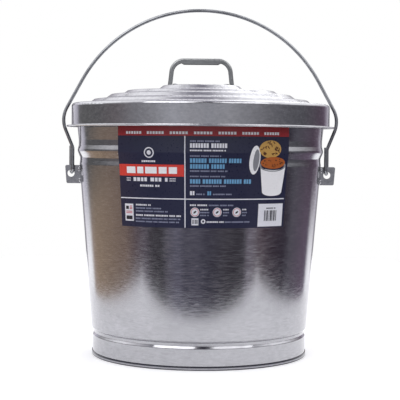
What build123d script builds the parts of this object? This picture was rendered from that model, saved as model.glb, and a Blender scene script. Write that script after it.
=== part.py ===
"""Galvanised round can with a push-on lid and a swing-over wire bail.

The origin is the bottom centre of the foot ring, +Z is up, the label faces -Y and the two
bail ears stand on the X axis. All lengths are in millimetres.
"""

from build123d import *
from math import acos, atan, atan2, cos, degrees, hypot, radians, sin
import os

# ---- Sheet and wire stock ---------------------------------------------------------------
SHEET = 0.8             # galvanised sheet of the body, the bottom and the lid
HALF = SHEET / 2
GAP = 0.1               # room left between two curved sheets that lie on each other
EAR_SHEET = 1.2         # sheet of the bail ears and of the lid handle
BAIL_WIRE_R = 2.6       # radius of the bail wire
RIM_WIRE_R = 2.5        # radius of the wire inside the rolled rim

# ---- Body -------------------------------------------------------------------------------
FOOT_R = 164.5          # outside of the straight foot band
FOOT_HEM = 6.0          # height of the folded seam round the foot
GROOVE_Z = 36.5         # middle of the groove that locks the bottom in
GROOVE_R = 162.6        # outside of the groove
FLOOR_Z = 42.0          # top of the floor inside the can
TAPER_Z0, TAPER_R0 = 42.6, 166.0      # lower end of the tapered wall
TAPER_Z1, TAPER_R1 = 291.6, 186.0     # upper end of the tapered wall
STEP_R = 185.2          # waist just under the bead
BEAD_Z, BEAD_R = 312.2, 189.3         # corner that the swelled bead is rounded from
WAIST_Z, WAIST_R = 324.6, 187.3       # shallow hollow above the bead
COLLAR_Z, COLLAR_R = 347.6, 189.3     # straight collar under the rim
RIM_Z = 380.15          # height of the rim wire's centre
RIM_R = COLLAR_R + RIM_WIRE_R + GAP / 2
RIM_TURN = 292.0        # how far the sheet is rolled round the rim wire, in degrees
SEAM_WIDTH = 7.0        # lock seam down the back

# ---- Lid --------------------------------------------------------------------------------
LID_R = 198.5           # outside of the lid's skirt
LID_FLANGE_R = 206.0    # outside of the hemmed flange
LID_Z = 384.6           # top of the lid's outer tread
LID_BASE_Z = 348.4      # lowest edge of the lid
PLATEAU_Z, PLATEAU_R = 413.2, 58.0    # flat middle of the lid
TREADS = [              # outside of the pressed steps, from the plateau outwards
    (PLATEAU_R, PLATEAU_Z), (66.0, 406.9), (113.0, 404.8), (119.0, 400.4),
    (138.0, 398.8), (146.0, 393.0), (164.0, 391.0), (171.0, 385.8),
]
HEM_GAP = 1.7           # between the two leaves of the flange's hem, centre to centre

# ---- Lid handle -------------------------------------------------------------------------
HANDLE_X = 51.0         # outside of the handle at its feet, from the middle
HANDLE_TOP_X = 46.5     # corner of the handle at the top, from the middle
HANDLE_TOP = 454.9
HANDLE_WIDTH = 20.0     # along Y
LEG_DEPTH = 6.4         # depth of the pressed channel in the legs
GRIP_DEPTH = 8.9        # depth of the channel along the grip
GRIP_HALF = 27.0        # half length of the deep part of the grip
GRIP_RUNOUT = 7.0       # length over which the deep part runs out at each end
CHANNEL_EDGE = 3.0      # bend between the channel's back and its sides
HANDLE_BEND = 22.0
FOOT_END_X = 33.0       # inner end of each foot
HANDLE_RIVET_X, HANDLE_RIVET_Y = 39.5, 5.0

# ---- Ears and bail ----------------------------------------------------------------------
PIVOT_Z = 285.6         # the bail's axis, along X, inside the web over each ear hole
HOOK_R = 7.0            # radius that the bail's hooks turn on
EAR_TOP, EAR_BOTTOM = PIVOT_Z + 3.8, PIVOT_Z - 24.4
EAR_REACH = 208.0       # outer edge of an ear at its middle
EAR_HOLE_R = 5.5
EAR_HOLE_Z = PIVOT_Z - 9.0
EAR_HOLE_OUT = 1.0      # the hole's middle is this far outside the hook, which swings outwards
EAR_WEB_HALF = EAR_SHEET              # the web is two sheets thick
EAR_FLANGE = 14.0       # half width of the flange on the wall
EAR_FLANGE_CORNER, EAR_WEB_CORNER = 4.0, 2.5
EAR_RIVET_Y, EAR_RIVET_DZ = 8.8, 8.0
LEG_U = 197.0           # distance of the bail's legs from the middle
TAIL_X = {"left": -201.0, "right": 193.5}     # the two hooks are bent by hand, unequally
TAIL_TOP = 319.6
LEG_BEND_U, LEG_BEND_Z, LEG_BEND_R = 196.9, 316.5, 12.0   # where a leg starts to lean outwards
BULGE_U, BULGE_Z, BULGE_R = 215.3, 361.5, 40.0
NECK_U, NECK_Z = 193.9, 400.6         # the straight run over the lid passes here
ARCH_R, ARCH_Z = 208.5, 320.5         # radius of the arch and height of its centre

# ---- Label ------------------------------------------------------------------------------
LABEL_THICK = 0.35
LABEL_Z0, LABEL_Z1 = 205.0, 360.0
LABEL_LEFT, LABEL_RIGHT = 38.4, 42.1  # degrees either way of the front
LABEL_PEAK_R, LABEL_PEAK_Z = 189.3, 311.0     # where the film bridges over the bead
LABEL_TOP_R = 189.75

# ---- Rivets -----------------------------------------------------------------------------
RIVET_R = 2.0
RIVET_HEAD_R, RIVET_HEAD_H = 3.6, 1.7
RIVET_TAIL_R, RIVET_TAIL_H = 3.2, 1.0
RIVET_HOLE_R = RIVET_R + GAP / 2
DRILL = 10.0            # length of a cut that makes a rivet hole, through any sheet here

os.makedirs("parts", exist_ok=True)


def half_plane(azimuth):
    """The upright plane through the Z axis whose x axis points at an azimuth in degrees."""
    a = radians(azimuth)
    return Plane(origin=(0, 0, 0), x_dir=(cos(a), sin(a), 0), z_dir=(sin(a), -cos(a), 0))


def wall_radius(z):
    """Outside radius of the tapered wall at a height."""
    return TAPER_R0 + (TAPER_R1 - TAPER_R0) * (z - TAPER_Z0) / (TAPER_Z1 - TAPER_Z0)


def wall_planes(side):
    """Planes on the wall at an ear's four rivets, facing straight out of the cone."""
    lean = atan((TAPER_R1 - TAPER_R0) / (TAPER_Z1 - TAPER_Z0))
    planes = []
    for y in (-EAR_RIVET_Y, EAR_RIVET_Y):
        for dz in (-EAR_RIVET_DZ, EAR_RIVET_DZ):
            z = (EAR_TOP + EAR_BOTTOM) / 2 + dz
            r = wall_radius(z)
            x = side * (r * r - y * y) ** 0.5
            out = (x / r * cos(lean), y / r * cos(lean), -sin(lean))
            planes.append(Plane(origin=(x, y, z), z_dir=out))
    return planes


def finish(piece, name):
    """Name a finished sub-part and write its STEP file."""
    piece.part.label = name
    export_step(piece.part, f"parts/{name}.step")


def rivet(plane, grip, name):
    """A domed rivet: its head stands on the plane, and its shank goes back through the grip."""
    with BuildPart(plane) as piece:
        Cylinder(RIVET_HEAD_R, RIVET_HEAD_H, align=(Align.CENTER, Align.CENTER, Align.MIN))
        crown = piece.faces().sort_by(Axis(plane.origin, plane.z_dir))[-1]
        fillet(crown.edges(), RIVET_HEAD_H * 0.8)
        Cylinder(RIVET_R, grip, align=(Align.CENTER, Align.CENTER, Align.MAX))
        with Locations((0, 0, -grip)):
            Cylinder(RIVET_TAIL_R, RIVET_TAIL_H, align=(Align.CENTER, Align.CENTER, Align.MAX))
    finish(piece, name)


# ---- can_body ---------------------------------------------------------------------------
# One sheet: foot band, groove, tapered wall, bead, collar and a rim rolled round a wire.
WALL_LINE = [
    (FOOT_R - HALF, SHEET + GAP),
    (FOOT_R - HALF, GROOVE_Z - 5.5),
    (GROOVE_R - HALF, GROOVE_Z - 2.0),
    (GROOVE_R - HALF, GROOVE_Z + 2.0),
    (TAPER_R0 - HALF, TAPER_Z0),
    (TAPER_R1 - HALF, TAPER_Z1),
    (STEP_R - HALF, TAPER_Z1 + 6.0),
    (STEP_R - HALF, TAPER_Z1 + 10.5),
    (BEAD_R - HALF, BEAD_Z),
    (WAIST_R - HALF, WAIST_Z - 4.0),
    (WAIST_R - HALF, WAIST_Z + 4.0),
    (COLLAR_R - HALF, COLLAR_Z),
    (COLLAR_R - HALF, RIM_Z),
]
WALL_BENDS = [1.5, 1.5, 1.5, 2.0, 5.0, 4.0, 4.0, 8.0, 5.0, 5.0, 8.0]
seam_turn = degrees(SEAM_WIDTH / TAPER_R1)
seam_line = [(r + SHEET * 0.9, z) for r, z in WALL_LINE]
seam_line[0] = (seam_line[0][0], FOOT_HEM + 1.0)
seam_line[-1] = (seam_line[-1][0], RIM_Z - 8.0)

with BuildPart() as can_body:
    with BuildSketch(Plane.XZ):
        with BuildLine():
            FilletPolyline(*WALL_LINE, radius=WALL_BENDS)
            CenterArc((RIM_R, RIM_Z), RIM_R - COLLAR_R + HALF, 180, -RIM_TURN)
        trace(line_width=SHEET)
    revolve(axis=Axis.Z)
    # The lock seam stands one sheet proud of the wall, down the back.
    with BuildSketch(half_plane(90 - seam_turn / 2)):
        with BuildLine():
            FilletPolyline(*seam_line, radius=WALL_BENDS)
        trace(line_width=SHEET)
    revolve(axis=Axis.Z, revolution_arc=seam_turn)
    with Locations(*wall_planes(-1), *wall_planes(1)):
        Cylinder(RIVET_HOLE_R, DRILL, mode=Mode.SUBTRACT)
finish(can_body, "can_body")

# ---- rim_wire ---------------------------------------------------------------------------
with BuildPart() as rim_wire:
    with Locations((0, 0, RIM_Z)):
        Torus(RIM_R, RIM_WIRE_R)
finish(rim_wire, "rim_wire")

# ---- can_bottom -------------------------------------------------------------------------
# A pan pushed up into the foot: its side follows the groove, and its edge is folded out and
# up round the lower edge of the wall. The can stands on that fold.
PAN_IN = SHEET + 2.5 * GAP
with BuildPart() as can_bottom:
    with BuildSketch(Plane.XZ):
        with BuildLine():
            FilletPolyline(
                (0, FLOOR_Z - HALF),
                (GROOVE_R - HALF - PAN_IN, FLOOR_Z - HALF),
                (GROOVE_R - HALF - PAN_IN, GROOVE_Z - 2.0),
                (FOOT_R - HALF - PAN_IN, GROOVE_Z - 5.5),
                (FOOT_R - HALF - PAN_IN, HALF),
                (FOOT_R + HALF + GAP, HALF),
                (FOOT_R + HALF + GAP, FOOT_HEM),
                radius=[2.0, 1.5, 1.5, 0.5, 0.5],
            )
        trace(line_width=SHEET)
    revolve(axis=Axis.Z)
finish(can_bottom, "can_bottom")

# ---- label ------------------------------------------------------------------------------
# A printed film round the front. It lies on the taper, then bridges from bead to collar.
LABEL_LIFT = GAP + LABEL_THICK / 2
with BuildPart() as label:
    with BuildSketch(half_plane(-90 - LABEL_LEFT)):
        with BuildLine():
            FilletPolyline(
                (wall_radius(LABEL_Z0) + LABEL_LIFT, LABEL_Z0),
                (TAPER_R1 + LABEL_LIFT, TAPER_Z1),
                (LABEL_PEAK_R, LABEL_PEAK_Z),
                (LABEL_TOP_R, COLLAR_Z),
                (LABEL_TOP_R, LABEL_Z1),
                radius=[8.0, 8.0, 8.0],
            )
        trace(line_width=LABEL_THICK)
    revolve(axis=Axis.Z, revolution_arc=LABEL_LEFT + LABEL_RIGHT)
finish(label, "label")

# ---- ear_left, ear_right ----------------------------------------------------------------
# A doubled upright web with the bail's hole, on a flange that lies on the wall.
ear_mid = (EAR_TOP + EAR_BOTTOM) / 2
taper = (TAPER_R1 - TAPER_R0) / (TAPER_Z1 - TAPER_Z0)
flange_turn = degrees(3 * EAR_FLANGE / TAPER_R1)        # wider than the flange cut from it
flange_out = GAP + EAR_SHEET
for side, name in ((-1, "left"), (1, "right")):
    hook_x = (side * LEG_U + TAIL_X[name]) / 2
    with BuildPart() as ear:
        with BuildSketch(half_plane(90 - side * 90 - flange_turn / 2)):
            with BuildLine():
                Polyline(
                    (wall_radius(EAR_BOTTOM) + GAP, EAR_BOTTOM),
                    (wall_radius(EAR_BOTTOM) + flange_out, EAR_BOTTOM),
                    (wall_radius(EAR_TOP) + flange_out, EAR_TOP),
                    (wall_radius(EAR_TOP) + GAP, EAR_TOP),
                    close=True,
                )
            make_face()
        revolve(axis=Axis.Z, revolution_arc=flange_turn)
        with BuildSketch(Plane.YZ):
            with Locations((0, ear_mid)):
                RectangleRounded(2 * EAR_FLANGE, EAR_TOP - EAR_BOTTOM, EAR_FLANGE_CORNER)
        extrude(amount=side * (EAR_REACH + EAR_FLANGE), mode=Mode.INTERSECT)
        with BuildSketch(Plane.XZ):
            with BuildLine():
                outline = FilletPolyline(
                    (side * (wall_radius(EAR_BOTTOM) + flange_out / 2), EAR_BOTTOM),
                    (side * (EAR_REACH + taper * (EAR_BOTTOM - ear_mid)), EAR_BOTTOM),
                    (side * (EAR_REACH + taper * (EAR_TOP - ear_mid)), EAR_TOP),
                    (side * (wall_radius(EAR_TOP) + flange_out / 2), EAR_TOP),
                    radius=[EAR_WEB_CORNER, EAR_WEB_CORNER],
                )
                Line(outline @ 1, outline @ 0)
            make_face()
            with Locations((hook_x + side * EAR_HOLE_OUT, EAR_HOLE_Z)):
                Circle(EAR_HOLE_R, mode=Mode.SUBTRACT)
        extrude(amount=EAR_WEB_HALF, both=True)
        with Locations(*wall_planes(side)):
            Cylinder(RIVET_HOLE_R, DRILL, mode=Mode.SUBTRACT)
    finish(ear, f"ear_{name}")
    places = ("front_low", "front_high", "back_low", "back_high")
    for place, plane in zip(places, wall_planes(side)):
        outer = plane.offset(flange_out + GAP / 2)
        rivet(outer, flange_out + SHEET + 1.5 * GAP, f"ear_rivet_{name}_{place}")

# ---- bail -------------------------------------------------------------------------------
# One wire. Its arch stands in a plane turned a little about Z, so that one leg runs down
# behind its ear and the other in front. Each leg goes round under the ear's web, through the
# hole, and ends in an upright tail on the ear's other side.
leaf = atan2(HOOK_R, LEG_U)
neck_turn = atan2(NECK_Z - ARCH_Z, NECK_U) + acos(ARCH_R / hypot(NECK_U, NECK_Z - ARCH_Z))
ARCH_START = (ARCH_R * cos(neck_turn), ARCH_Z + ARCH_R * sin(neck_turn))


def on_leaf(u, z):
    """A point of the arch's plane, from its distance to the Z axis and its height."""
    return Vector(u * cos(leaf), u * sin(leaf), z)


def hook_end(side, name):
    """Leg foot, lowest point and tail foot of a hook."""
    leg_foot = on_leaf(side * LEG_U, PIVOT_Z)
    tail_foot = Vector(TAIL_X[name], -side * HOOK_R, PIVOT_Z)
    drop = (leg_foot - tail_foot).length / 2
    return leg_foot, (leg_foot + tail_foot) / 2 - Vector(0, 0, drop), tail_foot


leg_shape = [(LEG_U, PIVOT_Z), (LEG_BEND_U, LEG_BEND_Z), (BULGE_U, BULGE_Z), ARCH_START]
leg_r, bottom_r, tail_r = hook_end(1, "right")
leg_l, bottom_l, tail_l = hook_end(-1, "left")
with BuildPart() as bail:
    with BuildLine() as wire:
        Line((tail_l.X, tail_l.Y, TAIL_TOP), tail_l)
        ThreePointArc(tail_l, bottom_l, leg_l)
        FilletPolyline(*[on_leaf(-u, z) for u, z in leg_shape], radius=[LEG_BEND_R, BULGE_R])
        ThreePointArc(
            on_leaf(-ARCH_START[0], ARCH_START[1]),
            on_leaf(0, ARCH_Z + ARCH_R),
            on_leaf(*ARCH_START),
        )
        FilletPolyline(
            *[on_leaf(u, z) for u, z in reversed(leg_shape)], radius=[BULGE_R, LEG_BEND_R]
        )
        ThreePointArc(leg_r, bottom_r, tail_r)
        Line(tail_r, (tail_r.X, tail_r.Y, TAIL_TOP))
    with BuildSketch(Plane(origin=(tail_l.X, tail_l.Y, TAIL_TOP), z_dir=(0, 0, -1))):
        Circle(BAIL_WIRE_R)
    sweep(path=wire.wires()[0])
    tail_ends = bail.faces().filter_by(GeomType.PLANE)
    fillet(tail_ends.edges(), BAIL_WIRE_R * 0.3)
finish(bail, "bail")

# ---- lid --------------------------------------------------------------------------------
SKIRT_R = LID_R - HALF
HEM_Z = LID_BASE_Z + HALF + HEM_GAP
with BuildPart() as lid:
    with BuildSketch(Plane.XZ):
        with BuildLine():
            FilletPolyline(
                (0, PLATEAU_Z - HALF),
                *[(r, z - HALF) for r, z in TREADS],
                (SKIRT_R, LID_Z - HALF),
                (SKIRT_R, HEM_Z),
                (LID_FLANGE_R - HALF, HEM_Z),
                (LID_FLANGE_R - HALF, HEM_Z - HEM_GAP),
                (LID_R + 2.4, HEM_Z - HEM_GAP),
                radius=[3.0, 3.0, 2.5, 2.5, 3.0, 3.0, 3.0, 3.0, 4.6, 1.5, 0.84, 0.84],
            )
        trace(line_width=SHEET)
    revolve(axis=Axis.Z)
    with Locations(*[
        (x, y, PLATEAU_Z)
        for x in (-HANDLE_RIVET_X, HANDLE_RIVET_X)
        for y in (-HANDLE_RIVET_Y, HANDLE_RIVET_Y)
    ]):
        Cylinder(RIVET_HOLE_R, DRILL, mode=Mode.SUBTRACT)
finish(lid, "lid")

# ---- lid_handle -------------------------------------------------------------------------
# A pressed channel bent into a U, open on its inner side, deeper along the grip, with two
# flat feet turned in under the grip.
with BuildPart() as lid_handle:
    with BuildLine(Plane.XZ) as handle_line:
        FilletPolyline(
            (-HANDLE_X, PLATEAU_Z + 1.0),
            (-HANDLE_TOP_X, HANDLE_TOP),
            (HANDLE_TOP_X, HANDLE_TOP),
            (HANDLE_X, PLATEAU_Z + 1.0),
            radius=HANDLE_BEND,
        )
    leg_way = handle_line.line % 0
    with BuildSketch(Plane(origin=handle_line.line @ 0, x_dir=(0, 1, 0), z_dir=leg_way)):
        with Locations((0, -LEG_DEPTH / 2)):
            channel = Rectangle(HANDLE_WIDTH, LEG_DEPTH)
        fillet(channel.vertices().group_by(Axis.Y)[-1], CHANNEL_EDGE)
        with Locations((0, -LEG_DEPTH / 2 - EAR_SHEET)):
            Rectangle(HANDLE_WIDTH - 2 * EAR_SHEET, LEG_DEPTH, mode=Mode.SUBTRACT)
    sweep(path=handle_line.wires()[0])
    # The deeper sides of the grip.
    side_top = HANDLE_TOP - CHANNEL_EDGE - 1.0
    for y in (-HANDLE_WIDTH / 2, HANDLE_WIDTH / 2 - EAR_SHEET):
        with BuildSketch(Plane.XZ.offset(-y)):
            with BuildLine():
                grip = FilletPolyline(
                    (-GRIP_HALF - GRIP_RUNOUT, side_top),
                    (-GRIP_HALF, HANDLE_TOP - GRIP_DEPTH),
                    (GRIP_HALF, HANDLE_TOP - GRIP_DEPTH),
                    (GRIP_HALF + GRIP_RUNOUT, side_top),
                    radius=4.0,
                )
                Line(grip @ 1, grip @ 0)
            make_face()
        extrude(amount=-EAR_SHEET)
    # The feet.
    for side in (-1, 1):
        foot_mid = side * (HANDLE_X + FOOT_END_X) / 2
        with BuildSketch(Plane.XY.offset(PLATEAU_Z)):
            with Locations((foot_mid, 0)):
                foot = Rectangle(HANDLE_X - FOOT_END_X, HANDLE_WIDTH)
            fillet(foot.vertices().group_by(Axis.X)[0 if side > 0 else -1], 5.0)
        extrude(amount=EAR_SHEET)
        with Locations(*[
            (side * HANDLE_RIVET_X, y, PLATEAU_Z) for y in (-HANDLE_RIVET_Y, HANDLE_RIVET_Y)
        ]):
            Cylinder(RIVET_HOLE_R, DRILL, mode=Mode.SUBTRACT)
finish(lid_handle, "lid_handle")

for side, name in ((-1, "left"), (1, "right")):
    for y, place in ((-HANDLE_RIVET_Y, "front"), (HANDLE_RIVET_Y, "back")):
        foot_top = Plane(origin=(side * HANDLE_RIVET_X, y, PLATEAU_Z + EAR_SHEET))
        rivet(foot_top, EAR_SHEET + SHEET, f"handle_rivet_{name}_{place}")
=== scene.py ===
"""Finishes, printed label, studio and camera for the galvanised can with its lid and bail.

Lengths are in metres, except where a name ends in _mm or _MM and in the label's artwork, which
is laid out in millimetres. The frame is the CAD's own: +Z is up, the label faces -Y and the
bail's ears stand on the X axis.
"""

from math import cos, pi, radians, sin

import bpy
import numpy as np
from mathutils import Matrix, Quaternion, Vector
from mathutils.bvhtree import BVHTree


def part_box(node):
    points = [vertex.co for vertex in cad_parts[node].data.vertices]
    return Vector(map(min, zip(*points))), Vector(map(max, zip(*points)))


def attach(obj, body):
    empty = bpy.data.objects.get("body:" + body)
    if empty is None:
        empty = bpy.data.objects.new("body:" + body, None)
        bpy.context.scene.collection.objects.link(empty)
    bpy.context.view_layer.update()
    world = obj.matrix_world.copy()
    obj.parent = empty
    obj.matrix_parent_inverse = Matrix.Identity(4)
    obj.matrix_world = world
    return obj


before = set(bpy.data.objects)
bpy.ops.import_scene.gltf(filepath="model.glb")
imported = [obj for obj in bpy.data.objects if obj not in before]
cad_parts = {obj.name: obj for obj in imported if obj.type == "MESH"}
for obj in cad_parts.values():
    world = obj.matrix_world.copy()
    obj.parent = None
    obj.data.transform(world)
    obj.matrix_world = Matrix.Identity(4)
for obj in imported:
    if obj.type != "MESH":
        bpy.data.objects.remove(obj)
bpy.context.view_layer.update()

MM = 0.001


# ---- Materials: helpers -----------------------------------------------------------------
def linear(hex_colour):
    """An sRGB hex colour as linear red, green, blue and alpha."""
    srgb = np.array([int(hex_colour[i:i + 2], 16) for i in (1, 3, 5)]) / 255
    value = np.where(srgb <= 0.04045, srgb / 12.92, ((srgb + 0.055) / 1.055) ** 2.4)
    return (*(float(v) for v in value), 1.0)


def add(tree, kind, inputs=None, **attributes):
    """Add a node: attributes are set on it, and each input gets a link or a plain value."""
    made = tree.nodes.new(kind)
    for name, value in attributes.items():
        setattr(made, name, value)
    for key, value in (inputs or {}).items():
        if isinstance(value, bpy.types.NodeSocket):
            tree.links.new(value, made.inputs[key])
        else:
            made.inputs[key].default_value = value
    return made


def new_material(name):
    """An empty node material: its tree, its Principled shader and object coordinates."""
    material = bpy.data.materials.new(name)
    material.use_nodes = True
    tree = material.node_tree
    tree.nodes.clear()
    shader = add(tree, "ShaderNodeBsdfPrincipled")
    add(tree, "ShaderNodeOutputMaterial", {"Surface": shader.outputs["BSDF"]})
    coords = add(tree, "ShaderNodeTexCoord").outputs["Object"]
    return material, tree, shader, coords


def ramp(tree, factor, stops):
    """A colour ramp through (position, hex colour) stops."""
    made = add(tree, "ShaderNodeValToRGB", {"Fac": factor})
    elements = made.color_ramp.elements
    while len(elements) < len(stops):
        elements.new(0.5)
    for element, (position, colour) in zip(elements, sorted(stops)):
        element.position = position
        element.color = linear(colour)
    return made.outputs["Color"]


def per_metre(size_mm):
    """Texture scale whose cells are size_mm across."""
    return 1000 / size_mm


def stretched_noise(tree, coords, size_mm, detail=3.0, roughness=0.55):
    """Noise whose cells are size_mm = (x, y, z) across."""
    cells = add(tree, "ShaderNodeMapping", {
        "Vector": coords, "Scale": tuple(per_metre(s) for s in size_mm)})
    return add(tree, "ShaderNodeTexNoise", {
        "Vector": cells.outputs["Vector"], "Scale": 1.0, "Detail": detail,
        "Roughness": roughness}).outputs["Fac"]


def to_range(tree, value, low, high, new_low, new_high):
    """Map a value from one range to another, clamped."""
    return add(tree, "ShaderNodeMapRange", {
        "Value": value, "From Min": low, "From Max": high,
        "To Min": new_low, "To Max": new_high}).outputs["Result"]


def blend_colours(tree, factor, first, second, mode="MIX"):
    """Mix two colours, each a socket or a linear colour."""
    return add(tree, "ShaderNodeMix", {0: factor, 6: first, 7: second},
               data_type="RGBA", blend_type=mode).outputs[2]


def bump(tree, height, depth_mm, normal=None):
    """Bump of a 0 to 1 height that is depth_mm deep, on top of another normal."""
    inputs = {"Height": height, "Distance": depth_mm * MM, "Strength": 1.0}
    if normal is not None:
        inputs["Normal"] = normal
    return add(tree, "ShaderNodeBump", inputs).outputs["Normal"]


# ---- Materials: metals ------------------------------------------------------------------
PAINTED_SHADE_MM = 10.0              # height over which the painted shade is laid, from the ground up
SPANGLE_MM = 7.0             # size of the zinc's crystals
CLOUD_MM = (110, 110, 60)    # size of the broad pale and dark patches
DASH_DEPTH_MM = 0.004
RUN_DEPTH_MM = 0.006
SHEET_SPREAD = 0.035         # how far the roughness varies either way
WIRE_SPREAD = 0.05
QUARTER_TURN = 0.25          # turns the smear from round the can to up and down


def rolled_galvanised_sheet(name, streak_mm, ripple_mm, ripple_depth_mm, dark, light,
                            roughness, anisotropy, painted_shade_stops=None):
    """Hot-dip galvanised steel sheet, rolled to a small spangle.

    The rolling leaves fine level dashes, which smear reflections up and down and leave them
    sharp sideways, and the zinc's crystals make pale and dark flecks. Wide shallow ripples in
    the thin sheet bend the upright reflections. The painted shade stops are a list of (height
    in mm, hex colour) that darken the sheet by height, over the height set above, from the
    ground.
    """
    material, tree, shader, coords = new_material(name)
    dashes = stretched_noise(tree, coords, streak_mm)
    crystals = add(tree, "ShaderNodeTexVoronoi", {
        "Vector": coords, "Scale": per_metre(SPANGLE_MM), "Randomness": 1.0})
    flecks = add(tree, "ShaderNodeSeparateColor", {
        "Color": crystals.outputs["Color"]}).outputs["Red"]
    clouds = stretched_noise(tree, coords, CLOUD_MM, detail=2.0)
    tone = add(tree, "ShaderNodeMath", {0: flecks, 1: 0.10, 2: dashes},
               operation="MULTIPLY_ADD").outputs["Value"]
    tone = add(tree, "ShaderNodeMath", {0: clouds, 1: 0.5, 2: tone},
               operation="MULTIPLY_ADD").outputs["Value"]
    colour = ramp(tree, to_range(tree, tone, 0.4, 1.2, 0, 1), [(0.0, dark), (1.0, light)])
    # Painted shade: dark bands by height where the foot meets the ground and in its fold.
    if painted_shade_stops:
        height = add(tree, "ShaderNodeSeparateXYZ", {"Vector": coords}).outputs["Z"]
        shade_by_height = ramp(tree, to_range(tree, height, 0, PAINTED_SHADE_MM * MM, 0, 1),
                     [(z / PAINTED_SHADE_MM, tint) for z, tint in painted_shade_stops])
        colour = blend_colours(tree, 1.0, colour, shade_by_height, mode="MULTIPLY")
    tree.links.new(colour, shader.inputs["Base Color"])
    tree.links.new(
        to_range(tree, dashes, 0.3, 0.7, roughness - SHEET_SPREAD, roughness + SHEET_SPREAD),
        shader.inputs["Roughness"])
    ripples = stretched_noise(tree, coords, ripple_mm, detail=1.0)
    normal = bump(tree, dashes, DASH_DEPTH_MM, bump(tree, ripples, ripple_depth_mm))
    tree.links.new(normal, shader.inputs["Normal"])
    shader.inputs["Metallic"].default_value = 1.0
    shader.inputs["Anisotropic"].default_value = anisotropy
    shader.inputs["Anisotropic Rotation"].default_value = QUARTER_TURN
    around = add(tree, "ShaderNodeTangent", direction_type="RADIAL", axis="Z")
    tree.links.new(around.outputs["Tangent"], shader.inputs["Tangent"])
    return material


def drawn_galvanised_wire(name, dark, light, roughness):
    """Galvanised steel wire, drawn and dipped: low runs of zinc soften its highlight."""
    material, tree, shader, coords = new_material(name)
    runs = stretched_noise(tree, coords, (9, 9, 9), detail=1.0)
    stains = stretched_noise(tree, coords, (26, 26, 26), detail=2.0)
    colour = ramp(tree, to_range(tree, stains, 0.3, 0.7, 0, 1), [(0.0, dark), (1.0, light)])
    tree.links.new(colour, shader.inputs["Base Color"])
    tree.links.new(
        to_range(tree, stains, 0.35, 0.65, roughness - WIRE_SPREAD, roughness + WIRE_SPREAD),
        shader.inputs["Roughness"])
    tree.links.new(bump(tree, runs, RUN_DEPTH_MM), shader.inputs["Normal"])
    shader.inputs["Metallic"].default_value = 1.0
    return material


# ---- Materials: label -------------------------------------------------------------------
def printed_vinyl_film(name, colour_hex, gloss_roughness=0.3, shade=0.03):
    """Printed vinyl film: flat even ink under a thin clear coat, with a faint orange peel."""
    material, tree, shader, coords = new_material(name)
    base = linear(colour_hex)
    darker = tuple(c * (1 - shade) for c in base[:3]) + (1.0,)
    mottle = stretched_noise(tree, coords, (2.2, 2.2, 2.2), detail=4.0)
    tree.links.new(
        blend_colours(tree, to_range(tree, mottle, 0.35, 0.65, 0, 1), darker, base),
        shader.inputs["Base Color"])
    peel = stretched_noise(tree, coords, (9, 9, 14), detail=2.0)
    tree.links.new(
        to_range(tree, mottle, 0.3, 0.7, gloss_roughness - 0.04, gloss_roughness + 0.06),
        shader.inputs["Roughness"])
    tree.links.new(bump(tree, peel, 0.05), shader.inputs["Normal"])
    shader.inputs["IOR"].default_value = 1.5
    shader.inputs["Coat Weight"].default_value = 0.25
    shader.inputs["Coat Roughness"].default_value = 0.12
    return material


# The wall: bright zinc whose reflections run up and down under fine level dashes.
SHEET = rolled_galvanised_sheet(
    "rolled_galvanised_sheet", streak_mm=(11, 11, 1.7), ripple_mm=(60, 60, 400),
    ripple_depth_mm=0.05, dark="#9A9A9E", light="#C0C0C4", roughness=0.135, anisotropy=0.75)
# The lid: paler and softer, with the waves that pressing leaves in its treads.
LID_SHEET = rolled_galvanised_sheet(
    "pressed_galvanised_lid", streak_mm=(6, 6, 3.5), ripple_mm=(34, 34, 60),
    ripple_depth_mm=0.40, dark="#A8A8AC", light="#CACACE", roughness=0.18, anisotropy=0.3)
# The bottom and its fold round the foot: two dark lines of painted shade, one where the foot
# meets the ground and one in the fold, with a less darkened band between.
PAN_SHEET = rolled_galvanised_sheet(
    "scuffed_galvanised_pan_with_painted_shade", streak_mm=(7, 7, 1.2), ripple_mm=(30, 30, 30),
    ripple_depth_mm=0.05, dark="#9A9A9E", light="#C0C0C4", roughness=0.20, anisotropy=0.3,
    painted_shade_stops=[(0.0, "#50505A"), (1.2, "#6A6A70"), (2.0, "#E8E8EA"), (3.2, "#E8E8EA"),
           (4.2, "#5A5A62"), (6.2, "#484850"), (8.0, "#E8E8EA")])
# The ears: small folded plates, a little uneven, with light and dark patches.
EAR_SHEET = rolled_galvanised_sheet(
    "folded_galvanised_strip", streak_mm=(5, 5, 5), ripple_mm=(12, 12, 12),
    ripple_depth_mm=0.30, dark="#8F8F92", light="#C2C2C6", roughness=0.22, anisotropy=0.0)
# The lid's handle: duller grey, worn satin by hands.
HANDLE_STRIP = rolled_galvanised_sheet(
    "pressed_galvanised_strip", streak_mm=(12, 2.2, 2.2), ripple_mm=(40, 40, 40),
    ripple_depth_mm=0.05, dark="#8C8E8E", light="#B0B2B2", roughness=0.36, anisotropy=0.0)
# The bail and the rim's wire: dark edges and one soft bright line along the middle.
WIRE = drawn_galvanised_wire("drawn_galvanised_wire", "#8E9093", "#AEB0B3", 0.33)
# The rivets: a brighter plating on small domed heads.
RIVET = drawn_galvanised_wire("zinc_plated_rivet", "#9A9A9E", "#C6C6CA", 0.26)

# The label's ground: deep navy ink under a thin gloss that greys it a little.
NAVY = printed_vinyl_film("printed_vinyl_navy", "#232640")

NODE_FINISH = {
    "can_body": SHEET, "can_bottom": PAN_SHEET, "rim_wire": WIRE, "bail": WIRE,
    "lid": LID_SHEET, "lid_handle": HANDLE_STRIP, "ear_left": EAR_SHEET, "ear_right": EAR_SHEET,
    "label": NAVY,
}


def dress(obj, material):
    """Give a piece its one material."""
    obj.data.materials.clear()
    obj.data.materials.append(material)


# Every node that the table doesn't name is a rivet.
for node_name, node_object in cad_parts.items():
    dress(node_object, NODE_FINISH.get(node_name, RIVET))


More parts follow.
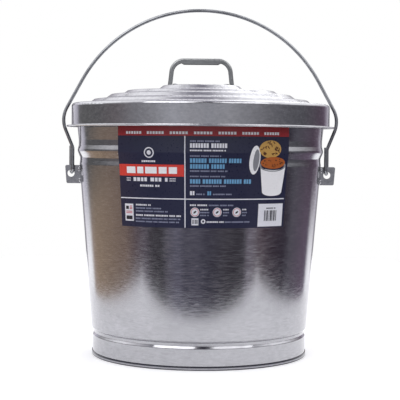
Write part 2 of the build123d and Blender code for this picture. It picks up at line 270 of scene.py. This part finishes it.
# ---- Label artwork ----------------------------------------------------------------------
# Laid out flat, in millimetres: u runs to the right from the middle of the front, and v up
# from the label's lower edge. All lettering is replaced by plain blocks.
LABEL_R_MM = 188.0           # the radius that turns u into an angle
INK_LIFT_MM = 0.16           # how far apart the layers of ink lie
label_low, label_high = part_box("label")
LABEL_Z0 = label_low.z
LABEL_TALL_MM = (label_high.z - label_low.z) / MM
GRID_STEP_MM = 3.0
EDGE_MARGIN = 0.0002         # keeps the rays off the film's own edges
WORD_GAP, LETTER_GAP = 0.8, 0.28         # as shares of a block's width


def label_profile():
    """Outside radius of the label film at a row of heights, felt with level rays."""
    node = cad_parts["label"]
    tree = BVHTree.FromPolygons(
        [v.co for v in node.data.vertices], [p.vertices for p in node.data.polygons])
    heights = np.linspace(label_low.z + EDGE_MARGIN, label_high.z - EDGE_MARGIN, 120)
    hits = [tree.ray_cast(Vector((0.001, -1, z)), Vector((0, 1, 0)))[0] for z in heights]
    return heights, np.array([(h.x ** 2 + h.y ** 2) ** 0.5 for h in hits])


PROFILE_Z, PROFILE_R = label_profile()


def on_label(u, v, lift_mm):
    """Points of the label's face: the angle is u over the label's radius, the height is v
    above its lower edge, and the radius is the film's own at that height plus the lift."""
    angle = u / LABEL_R_MM
    z = LABEL_Z0 + v * MM
    radius = np.interp(z, PROFILE_Z, PROFILE_R) + lift_mm * MM
    return np.stack([radius * np.sin(angle), -radius * np.cos(angle), z], axis=-1)


def block(u0, v0, u1, v1):
    """A rectangle on the label, as a grid fine enough to follow its curves."""
    columns = max(2, int((u1 - u0) / GRID_STEP_MM) + 2)
    rows = max(2, int((v1 - v0) / GRID_STEP_MM) + 2)
    return np.stack(np.meshgrid(
        np.linspace(u0, u1, columns), np.linspace(v0, v1, rows)), axis=-1)


def ellipse(u, v, half_wide, half_tall, lean=0.0, hole=0.0):
    """A filled ellipse, or a ring where hole is over 0: spokes times rings, the point at share
    s of the way out at angle a lying at s times (half_wide cos a, half_tall sin a), leaned."""
    angle = np.linspace(0, 2 * pi, 33)[None, :]
    share = np.linspace(max(hole, 0.002), 1, 6)[:, None]
    x, y = share * half_wide * np.cos(angle), share * half_tall * np.sin(angle)
    turn = radians(lean)
    return np.stack([u + x * cos(turn) - y * sin(turn),
                     v + x * sin(turn) + y * cos(turn)], axis=-1)


def words(u0, u1, v, height, glyph, seed):
    """A line of blocks in place of lettering: narrow blocks with a wider gap now and then."""
    made, u, count = [], u0, 0
    rng = np.random.default_rng(seed)
    space = int(rng.integers(4, 9))
    while u < u1 - glyph * 0.6:
        wide = glyph * rng.uniform(0.75, 1.1)
        made.append(block(u, v, min(u + wide, u1), v + height))
        u += wide + glyph * LETTER_GAP
        count += 1
        if count == space:
            u += glyph * WORD_GAP
            count, space = 0, int(rng.integers(3, 9))
    return made


def print_ink(name, colour_hex, shapes, layer=1):
    """Join flat shapes into one printed piece on the label's face, riding with the can.

    An ink has the film's own finish in another colour, and a higher layer lies over a lower.
    """
    verts, faces, start = [], [], 0
    for shape in shapes:
        rows, columns = shape.shape[:2]
        index = start + np.arange(rows * columns).reshape(rows, columns)
        on_face = on_label(shape[..., 0], shape[..., 1], layer * INK_LIFT_MM)
        verts.append(on_face.reshape(-1, 3))
        corners = [index[:-1, :-1], index[:-1, 1:], index[1:, 1:], index[1:, :-1]]
        faces.append(np.stack(corners, axis=-1).reshape(-1, 4))
        start += rows * columns
    mesh = bpy.data.meshes.new(name)
    mesh.from_pydata(np.concatenate(verts).tolist(), [], np.concatenate(faces).tolist())
    mesh.shade_smooth()
    piece = bpy.data.objects.new(name, mesh)
    bpy.context.scene.collection.objects.link(piece)
    dress(piece, printed_vinyl_film("printed_" + name, colour_hex))
    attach(piece, "can")


LEFT_U, RIGHT_U = -125.6, 137.6          # the printed area's sides
DIVIDER_U, DIVIDER_WIDE = -22.4, 1.5
LINE_V, LINE_TALL = 40.2, 1.5
BAND_V = 129.8                           # lower edge of the red band along the top
BANNER_V0, BANNER_V1 = 72.6, 89.2
TEXT_U = -14.4                           # where the right-hand text starts
SIGN_US, SIGN_V = (-7.2, 25.4, 54.8), 22.6

red_shapes = [block(LEFT_U, BAND_V, RIGHT_U, LABEL_TALL_MM - 0.4)]
banner = [block(LEFT_U, BANNER_V0, DIVIDER_U - 0.6, BANNER_V1)]
# Six blocks in each group along the red band, then five on the banner.
white_top = []
for u in np.arange(-111.0, 124.0, 34.0):
    white_top += [block(u + 4.4 * i, 132.2, u + 4.4 * i + 3.3, 136.0) for i in range(6)]
for u0, u1 in ((-112, -97), (-94, -84), (-81, -63), (-60, -48), (-45, -33)):
    white_top.append(block(u0, 76.4, u1, 85.8))

# The divider and the line, a ring and disc, three panels, a small ring, and the round signs.
white_shapes = [
    block(DIVIDER_U, 0.4, DIVIDER_U + DIVIDER_WIDE, BAND_V),
    block(LEFT_U, LINE_V, RIGHT_U - 2, LINE_V + LINE_TALL),
    ellipse(-74, 106, 7.6, 7.6, hole=0.78),
    ellipse(-74, 106, 3.2, 3.2),
    block(-118.5, 8.0, -103.2, 32.6),
    block(89.2, 1.6, 134.2, 34.2),
    block(-12.2, 4.0, -2.0, 14.0),
    ellipse(5.0, 9.6, 3.3, 3.3, hole=0.5),
]
for u in SIGN_US:
    white_shapes.append(ellipse(u, SIGN_V, 6.6, 6.6))
# Each row of blocks is (left u, right u, lower v, height, width of one block).
for seed, (u0, u1, v, tall, glyph) in enumerate((
        (-86, -62, 92.4, 2.6, 2.6), (-101, -47, 65.2, 5.4, 5.2), (-90, -58, 57.6, 2.8, 2.7),
        (-113, -105, 68.6, 1.4, 2.0), (-113, -105, 65.6, 1.4, 2.0),
        (-44, -35, 68.6, 1.4, 2.0), (-44, -35, 65.6, 1.4, 2.0),
        (TEXT_U, 37.5, 113.2, 6.4, 3.3), (TEXT_U, 36.0, 108.5, 2.0, 1.8),
        (TEXT_U, -7.6, 46.6, 5.8, 2.9), (-98.5, -73.3, 30.4, 2.2, 2.0),
        (-99.0, -26.7, 15.6, 2.3, 2.0), (10.1, 36.0, 7.8, 2.2, 2.0),
        (TEXT_U, 12.0, 31.4, 2.3, 2.0), (0.6, 14.0, 25.4, 2.0, 2.0),
        (34.2, 43.2, 25.4, 2.0, 2.0), (63.2, 71.0, 25.4, 2.0, 2.0))):
    white_shapes += words(u0, u1, v, tall, glyph, 10 + seed)

blue_shapes = []
for seed, (u0, u1, v, tall, glyph) in enumerate((
        (TEXT_U, 60.9, 92.2, 6.2, 3.2), (TEXT_U, 34.8, 84.0, 6.2, 3.2),
        (TEXT_U, 77.2, 63.0, 6.2, 3.2), (10.7, 17.5, 46.6, 5.8, 2.9))):
    blue_shapes += words(u0, u1, v, tall, glyph, 40 + seed)

grey_shapes = []
for seed, (u0, u1, v, tall, glyph) in enumerate((
        (TEXT_U, 27.5, 121.6, 2.0, 1.8), (TEXT_U, 30.6, 100.8, 1.8, 1.8),
        (TEXT_U, 39.4, 79.6, 2.0, 1.8), (TEXT_U, 35.9, 72.2, 1.8, 1.8),
        (TEXT_U, 37.7, 58.6, 2.0, 1.8), (-5.4, 7.4, 47.0, 2.0, 1.8),
        (19.0, 46.3, 47.0, 2.0, 1.8), (13.0, 49.1, 31.4, 2.0, 1.8),
        (0.6, 15.0, 21.3, 1.8, 1.8), (0.6, 13.0, 17.2, 1.8, 1.8),
        (34.2, 44.2, 21.3, 1.8, 1.8), (34.2, 41.2, 17.2, 1.8, 1.8),
        (63.2, 71.0, 21.3, 1.8, 1.8), (63.2, 69.0, 17.2, 1.8, 1.8),
        (37.4, 76.8, 7.8, 1.9, 1.8), (-98.6, -56.8, 25.9, 1.9, 1.8),
        (-98.8, -46.2, 21.6, 1.9, 1.8), (-99.3, -27.5, 11.2, 1.9, 1.8),
        (-99.5, -29.7, 6.8, 1.9, 1.8))):
    grey_shapes += words(u0, u1, v, tall, glyph, 60 + seed)

# A plain pail with its lid leaning on it, heaped with straw-coloured and brown scraps.
PAIL_FOOT_HALF, PAIL_RIM_HALF = 17.6, 22.4
STRAW_U, STRAW_V = 104.2, 112.0
BROWN_U, BROWN_V = 110.4, 92.6
pail_up = np.linspace(0, 1, 12)[:, None]
pail_side = np.linspace(-1, 1, 15)[None, :]
pail_half = PAIL_FOOT_HALF + (PAIL_RIM_HALF - PAIL_FOOT_HALF) * pail_up
pail_front = np.stack([
    111.6 + pail_half * pail_side,
    50.8 + 37.0 * pail_up - 5.6 * np.sqrt(1 - 0.98 * pail_side ** 2)
], axis=-1)
art_white = [pail_front, ellipse(79.5, 96.5, 8.4, 20.5, lean=-4)]
art_grey = [ellipse(110.6, 88.6, 23.6, 8.6, hole=0.86), ellipse(81.6, 96.2, 4.6, 15.5, lean=-4)]
art_brown = [ellipse(BROWN_U, BROWN_V, 21.6, 8.4)]
art_straw, art_shadow = [ellipse(STRAW_U, STRAW_V, 18.6, 12.6)], []
scrap_rng = np.random.default_rng(7)
for _ in range(26):
    turn, reach = scrap_rng.uniform(0, 2 * pi), scrap_rng.uniform(0.1, 0.9) ** 0.5
    art_shadow.append(ellipse(
        STRAW_U + 17.0 * reach * cos(turn), STRAW_V + 11.0 * reach * sin(turn),
        scrap_rng.uniform(1.6, 3.0), 0.7, lean=scrap_rng.uniform(-80, 80)))
for _ in range(22):
    turn, reach = scrap_rng.uniform(0, 2 * pi), scrap_rng.uniform(0.0, 0.9) ** 0.5
    art_shadow.append(ellipse(
        BROWN_U + 19.6 * reach * cos(turn), BROWN_V + 6.6 * reach * sin(turn), 1.1, 0.8))

# Dark and red marks on the white panels and signs, with a row of bars on the largest.
dark_shapes = [block(-116.4, 10.2, -105.2, 15.4), block(-116.4, 24.8, -111.2, 29.4)]
for i, wide in enumerate((1.2, 0.7, 1.6, 0.7, 0.7, 1.6, 1.2, 0.7, 1.6, 0.7, 1.2)):
    dark_shapes.append(block(99.8 + 2.1 * i, 9.6, 99.8 + 2.1 * i + wide, 24.6))
dark_shapes += words(103.0, 120.0, 27.0, 1.6, 1.5, 90)
for u in (-10.6, -7.4, -4.8):
    dark_shapes.append(block(u, 6.0, u + 1.5, 12.0))
red_small = [block(-109.6, v, -105.2, v + 1.0) for v in (25.0, 26.9, 28.8)]
red_small += [block(-116.4, v, -105.2, v + 1.0) for v in (19.0, 21.2)]
for u in SIGN_US:
    red_small.append(ellipse(u, SIGN_V, 5.6, 5.6, hole=0.88))
    dark_shapes.append(ellipse(u, SIGN_V, 2.6, 1.2, lean=40))

print_ink("label_ink_red", "#A3262C", red_shapes)
print_ink("label_ink_coral", "#DD4338", banner)
print_ink("label_ink_white", "#E8E9F0", white_shapes)
print_ink("label_ink_white_over", "#FAFAFC", white_top + art_white, layer=2)
print_ink("label_ink_sky", "#6FA6CE", blue_shapes)
print_ink("label_ink_mist", "#8E93AB", grey_shapes)
print_ink("label_ink_steel", "#8C8E94", art_grey, layer=3)
print_ink("label_ink_rust", "#B4622C", art_brown, layer=4)
print_ink("label_ink_straw", "#C99E55", art_straw, layer=3)
print_ink("label_ink_umber", "#5A3420", art_shadow, layer=5)
print_ink("label_ink_black", "#26262E", dark_shapes, layer=2)
print_ink("label_ink_cherry", "#C23A44", red_small, layer=2)


# ---- Studio -----------------------------------------------------------------------------
def matt_white_laminate(name):
    """Matt white laminate on a lit shooting table, so it stays white away from the lamps."""
    material, tree, shader, coords = new_material(name)
    grain = stretched_noise(tree, coords, (4, 4, 4), detail=3.0)
    tree.links.new(
        blend_colours(tree, to_range(tree, grain, 0.3, 0.7, 0, 1),
                      linear("#F4F4F5"), linear("#F7F7F8")), shader.inputs["Base Color"])
    shader.inputs["Roughness"].default_value = 0.6
    shader.inputs["Specular IOR Level"].default_value = 0.2
    shader.inputs["Emission Color"].default_value = (1, 1, 1, 1)
    shader.inputs["Emission Strength"].default_value = 0.24
    return material


# The table's front and side edges are close, so that above them the wall mirrors the room.
TABLE_HALF, TABLE_FRONT, TABLE_BACK = 0.55, -0.42, 1.60
table_mesh = bpy.data.meshes.new("table_top")
table_mesh.from_pydata(
    [(-TABLE_HALF, TABLE_FRONT, 0), (TABLE_HALF, TABLE_FRONT, 0), (TABLE_HALF, TABLE_BACK, 0),
     (-TABLE_HALF, TABLE_BACK, 0)], [], [(0, 1, 2, 3)])
table = bpy.data.objects.new("table_top", table_mesh)
bpy.context.scene.collection.objects.link(table)
dress(table, matt_white_laminate("matt_white_laminate"))

# What the metal mirrors all round, by compass direction from the can: 0 is in front, positive
# to the right. Low is what lies down past the table's edge, level is about eye height and high
# is above that, up to one plain tone overhead. Tones are given as they show in the metal.
ROOM_LOW = [
    (-180, "#6E6C72"), (-161, "#6E6C72"), (-154, "#F2F2F4"), (-141, "#F2F2F4"),
    (-133, "#A08F82"), (-124, "#988572"), (-100, "#8E7B6B"), (-78, "#7E6C62"),
    (-64, "#5C4F54"), (-55, "#5E5760"), (-49, "#3E3A40"), (-38, "#3D3B40"), (-31, "#5A5761"),
    (-22, "#62606E"), (-14, "#4C4A56"), (-5, "#53515D"), (8, "#3E3C48"), (26, "#3E3B42"),
    (36, "#343138"), (44, "#3D3A41"), (50, "#76707A"), (55, "#6E676F"), (62, "#54484F"),
    (72, "#40363F"), (92, "#332D38"), (101, "#57545D"), (128, "#655868"), (135, "#6A6270"),
    (143, "#F0F0F4"), (154, "#F2F2F4"), (161, "#6E6C72"), (180, "#6E6C72"),
]
ROOM_LEVEL = [
    (-180, "#7C7A80"), (-161, "#7C7A80"), (-154, "#C4C2CA"), (-142, "#A8A6B0"),
    (-134, "#585858"), (-100, "#5A5A5C"), (-78, "#645F62"), (-58, "#7A7A7E"),
    (-41, "#8A8A8E"), (-24, "#A0A1A6"),
    (-8, "#97979B"), (8, "#939499"), (24, "#98989C"), (41, "#828286"), (59, "#6D6D71"),
    (78, "#5C5C61"), (101, "#4F4F54"), (132, "#4E424E"), (143, "#5E5260"), (154, "#AAA6B0"),
    (161, "#7C7A80"), (180, "#7C7A80"),
]
ROOM_HIGH = [
    (-180, "#8A8890"), (-166, "#B2B0B7"), (-150, "#F4F4F6"), (-95, "#F4F4F6"),
    (-55, "#6E6C74"), (0, "#3C3B42"), (55, "#5E5C64"), (95, "#F4F4F6"), (163, "#F4F4F6"),
    (172, "#A3A1A8"), (180, "#8A8890"),
]
# One ring of tones fades into the next between these heights, as sines above the level.
LOW_TO_LEVEL = (-0.13, -0.08)
LEVEL_TO_HIGH = (0.12, 0.45)
HIGH_TO_OVERHEAD = (0.86, 0.97)
METAL_LIGHTNESS = 0.60       # the room's strength is 1 over this, as metal darkens reflections


def studio_world():
    """White behind everything that the camera sees, and a dim room for the metal to mirror."""
    world = bpy.data.worlds.new("studio")
    world.use_nodes = True
    tree = world.node_tree
    tree.nodes.clear()
    facing = add(tree, "ShaderNodeTexCoord").outputs["Generated"]
    axes = add(tree, "ShaderNodeSeparateXYZ", {"Vector": facing})
    front = add(tree, "ShaderNodeMath", {0: axes.outputs["Y"], 1: -1.0}, operation="MULTIPLY")
    turn = add(tree, "ShaderNodeMath", {0: axes.outputs["X"], 1: front.outputs["Value"]},
               operation="ARCTAN2").outputs["Value"]
    share = to_range(tree, turn, -pi, pi, 0, 1)

    def band(stops):
        return ramp(tree, share, [(degrees / 360 + 0.5, colour) for degrees, colour in stops])

    height = axes.outputs["Z"]
    level = blend_colours(tree, to_range(tree, height, *LOW_TO_LEVEL, 0, 1),
                          band(ROOM_LOW), band(ROOM_LEVEL))
    upper = blend_colours(tree, to_range(tree, height, *LEVEL_TO_HIGH, 0, 1),
                          level, band(ROOM_HIGH))
    over = blend_colours(tree, to_range(tree, height, *HIGH_TO_OVERHEAD, 0, 1),
                         upper, linear("#8A8892"))
    room = add(tree, "ShaderNodeBackground", {"Color": over, "Strength": 1 / METAL_LIGHTNESS})
    paper = add(tree, "ShaderNodeBackground", {"Color": (1, 1, 1, 1), "Strength": 1.0})
    seen = add(tree, "ShaderNodeLightPath").outputs["Is Camera Ray"]
    both = add(tree, "ShaderNodeMixShader", {
        0: seen, 1: room.outputs["Background"], 2: paper.outputs["Background"]})
    add(tree, "ShaderNodeOutputWorld", {"Surface": both.outputs["Shader"]})
    bpy.context.scene.world = world


def softbox(name, place, target, size, watts):
    """A square area light at a place, turned to its target."""
    lamp = bpy.data.lights.new(name, "AREA")
    lamp.size, lamp.energy = size, watts
    holder = bpy.data.objects.new(name, lamp)
    holder.location = place
    aim = Vector(target) - Vector(place)
    holder.rotation_euler = aim.to_track_quat("-Z", "Y").to_euler()
    bpy.context.scene.collection.objects.link(holder)


studio_world()
MIDDLE = (0, 0, 0.22)
softbox("key_softbox", (-0.9, -1.5, 2.0), MIDDLE, size=1.7, watts=24)
softbox("fill_softbox", (1.2, -1.3, 1.9), MIDDLE, size=1.7, watts=15)
softbox("back_softbox", (0.3, 1.8, 2.0), MIDDLE, size=1.2, watts=9)

# ---- Camera -----------------------------------------------------------------------------
EYE = Vector((0, -1.9415, 0.3241))
FOCAL_WIDTHS = 3.1335        # focal length in picture widths
SHIFT_WIDTHS = -0.025        # how far the view is slid, in picture widths
SENSOR_MM = 36.0
TILT_DOWN, ROLL = radians(2.12), radians(0.5)

camera_data = bpy.data.cameras.new("camera")
camera_data.sensor_width = SENSOR_MM
camera_data.lens = FOCAL_WIDTHS * SENSOR_MM
camera_data.shift_y = SHIFT_WIDTHS
camera = bpy.data.objects.new("camera", camera_data)
camera.location = EYE
look = Vector((0, cos(TILT_DOWN), -sin(TILT_DOWN)))
camera.rotation_mode = "QUATERNION"
camera.rotation_quaternion = look.to_track_quat("-Z", "Y") @ Quaternion((0, 0, 1), ROLL)
bpy.context.scene.collection.objects.link(camera)
bpy.context.scene.camera = camera
bpy.context.scene.view_settings.view_transform = "Standard"

# ---- Scene update -----------------------------------------------------------------------
bpy.context.view_layer.update()
